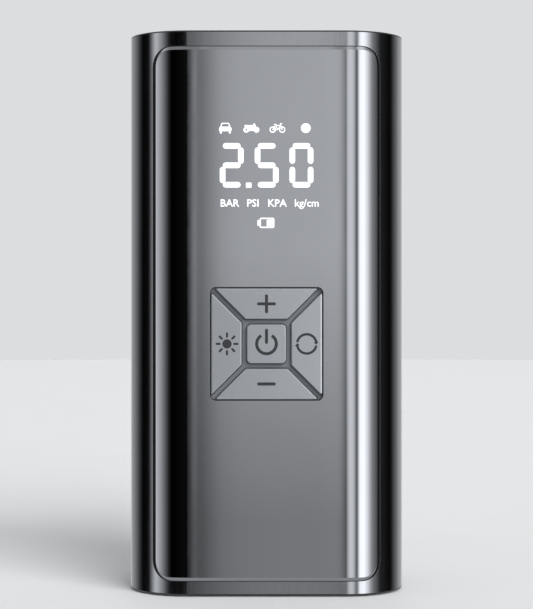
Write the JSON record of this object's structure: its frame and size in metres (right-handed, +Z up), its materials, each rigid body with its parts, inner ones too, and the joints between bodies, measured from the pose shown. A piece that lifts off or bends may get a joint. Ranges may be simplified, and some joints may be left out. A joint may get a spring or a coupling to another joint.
{
  "type": "portable tire inflator",
  "caption": "Upright handheld air pump: rounded metal case, gloss front panel with lit display and a square of keys, threaded air outlet and lamp on top.",
  "frame": {"origin": "middle of the footprint, on the surface the inflator stands on", "axes": "+X to the right seen from the front, -Y out of the front panel, +Z up"},
  "size_m": [0.074, 0.046, 0.15],
  "materials": {
    "shell_metal": "satin gunmetal",
    "panel_gloss": "mirror gloss smoked",
    "cap_plastic": "matt black",
    "rubber": "matt",
    "screw_steel": "black zinc",
    "key_plastic": "satin grey",
    "web_plastic": "satin grey",
    "display_white": "white",
    "board_green": "solder mask",
    "cell_wrap": "shrink wrap",
    "holder_plastic": "matt black",
    "nickel": "bright",
    "steel": "bright",
    "magnet": "sintered",
    "cast_metal": "as cast",
    "acetal": "natural",
    "brass": "machined",
    "silicone": "translucent",
    "lens": "frosted"
  },
  "bodies": {
    "case": {"main_shell": "shell_metal", "front_panel": "panel_gloss", "top_cap": "cap_plastic", "bottom_cap": "cap_plastic", "foot_front": "rubber", "foot_back": "rubber", "case_screw_1": "screw_steel", "case_screw_2": "screw_steel", "case_screw_3": "screw_steel", "case_screw_4": "screw_steel", "key_web": "web_plastic", "display_module": "display_white", "main_board": "board_green", "cell_1": "cell_wrap", "cell_2": "cell_wrap", "cell_3": "cell_wrap", "cell_holder_lower": "holder_plastic", "cell_holder_upper": "holder_plastic", "strap_lower_pair": "nickel", "strap_lower_end": "nickel", "strap_upper_end": "nickel", "strap_upper_pair": "nickel", "protection_board": "board_green", "motor_can": "steel", "motor_bell": "holder_plastic", "magnet_upper": "magnet", "magnet_lower": "magnet", "motor_screw_front": "screw_steel", "motor_screw_back": "screw_steel", "pump_frame": "cast_metal", "crank_bearing": "steel", "cylinder": "cast_metal", "head_gasket": "rubber", "cylinder_head": "cast_metal", "valve_cap": "brass", "air_tube": "silicone", "outlet_insert": "brass", "lamp_lens": "lens", "lamp_board": "board_green", "charge_socket": "steel", "socket_board": "board_green"},
    "plus_key": {"button_plus": "key_plastic"},
    "light_key": {"button_light": "key_plastic"},
    "minus_key": {"button_minus": "key_plastic"},
    "mode_key": {"button_mode": "key_plastic"},
    "power_key": {"button_power": "key_plastic"},
    "rotor": {"rotor_shaft": "steel", "armature": "steel", "commutator": "brass", "motor_pinion": "brass"},
    "crank": {"crank_shaft": "steel", "crank_gear": "acetal", "crank_pin": "steel"},
    "piston": {"piston": "cast_metal", "piston_ring": "rubber", "wrist_pin": "steel"},
    "rod": {"connecting_rod": "acetal", "big_end_bush": "brass"},
    "valve": {"valve_disc": "rubber"}
  },
  "joints": [
    {"name": "plus_press", "type": "slide", "parent": "case", "child": "plus_key", "axis": [0, 1, 0], "range_m": [0, 0.0005], "stiffness_N_per_m": 800},
    {"name": "light_press", "type": "slide", "parent": "case", "child": "light_key", "axis": [0, 1, 0], "range_m": [0, 0.0005], "stiffness_N_per_m": 800},
    {"name": "minus_press", "type": "slide", "parent": "case", "child": "minus_key", "axis": [0, 1, 0], "range_m": [0, 0.0005], "stiffness_N_per_m": 800},
    {"name": "mode_press", "type": "slide", "parent": "case", "child": "mode_key", "axis": [0, 1, 0], "range_m": [0, 0.0005], "stiffness_N_per_m": 800},
    {"name": "power_press", "type": "slide", "parent": "case", "child": "power_key", "axis": [0, 1, 0], "range_m": [0, 0.0005], "stiffness_N_per_m": 800},
    {"name": "motor_spin", "type": "hinge", "parent": "case", "child": "rotor", "pos_m": [0, 0.003, 0.0846], "axis": [1, 0, 0], "continuous": true},
    {"name": "crank_spin", "type": "hinge", "parent": "case", "child": "crank", "pos_m": [0, 0.003, 0.0996], "axis": [1, 0, 0], "continuous": true},
    {"name": "piston_stroke", "type": "slide", "parent": "case", "child": "piston", "axis": [0, 0, 1], "range_m": [-0.008, 0]},
    {"name": "rod_swing", "type": "hinge", "parent": "piston", "child": "rod", "pos_m": [0.0153, 0.003, 0.1286], "axis": [1, 0, 0], "range_deg": [-9.2, 9.2]},
    {"name": "valve_lift", "type": "slide", "parent": "case", "child": "valve", "axis": [0, 0, 1], "range_m": [0, 0.0008]}
  ],
  "couplings": [
    {"joint": "crank_spin", "follows": "motor_spin", "ratio": -0.25}
  ]
}
